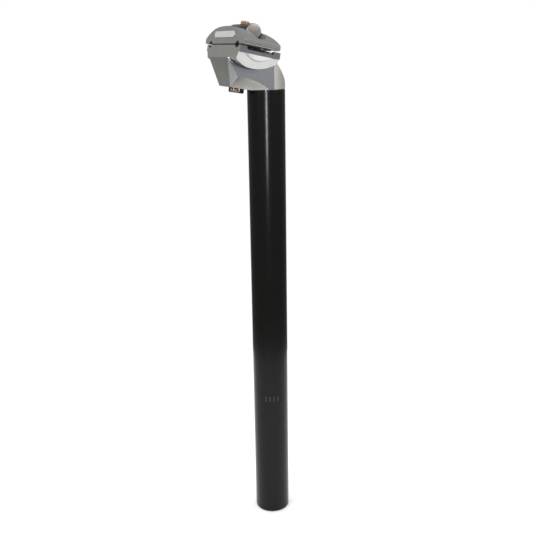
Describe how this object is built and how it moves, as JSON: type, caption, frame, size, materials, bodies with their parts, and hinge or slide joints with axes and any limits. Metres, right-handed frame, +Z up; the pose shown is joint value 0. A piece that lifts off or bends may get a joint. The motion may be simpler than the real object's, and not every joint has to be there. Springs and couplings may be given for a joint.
{
  "type": "seatpost",
  "caption": "Rigid setback bicycle seatpost: black tube, forged head with a round toothed cradle, and a saddle rail clamp whose tilt is set and locked by a single bolt.",
  "frame": {"origin": "on the tube's axis at its lower end", "axes": "+Z up along the tube, +X towards the front of the bicycle, so the clamp is set back towards -X"},
  "size_m": [0.0464, 0.0634, 0.3613],
  "materials": {
    "tube": "black anodised, satin",
    "head": "forged and polished, rear face brushed",
    "lower_clamp": "forged and polished, flanks bright satin",
    "upper_clamp": "forged and polished, rear face satin",
    "nut": "turned, dark nickel plate",
    "bolt": "yellow-brown zinc plate, head darker",
    "washer": "zinc plate"
  },
  "bodies": {
    "post": {"post_tube": "tube", "head": "head", "bolt_washer": "washer"},
    "cradle_clamp": {"lower_clamp": "lower_clamp"},
    "bolt": {"clamp_bolt": "bolt"},
    "cross_nut": {"barrel_nut": "nut"},
    "cap_clamp": {"upper_clamp": "upper_clamp"}
  },
  "joints": [
    {"name": "saddle_tilt", "type": "hinge", "parent": "post", "child": "cradle_clamp", "pos_m": [-0.01505, 0, 0.3544], "axis": [0, 1, 0], "range_deg": [-16, 13]},
    {"name": "bolt_turn", "type": "hinge", "parent": "post", "child": "bolt", "pos_m": [-0.01505, 0, 0.3544], "axis": [-0.1771, 0, -0.9842], "range_deg": [0, 2160]},
    {"name": "nut_travel", "type": "slide", "parent": "post", "child": "cross_nut", "axis": [0.1771, 0, 0.9842], "range_m": [0, 0.006]},
    {"name": "cap_tilt", "type": "hinge", "parent": "cross_nut", "child": "cap_clamp", "pos_m": [-0.01505, 0, 0.3544], "axis": [0, 1, 0], "range_deg": [-16, 13]}
  ],
  "couplings": [
    {"joint": "bolt_turn", "follows": "nut_travel", "rad_per_m": 6283.2},
    {"joint": "cap_tilt", "follows": "saddle_tilt", "ratio": 1}
  ]
}
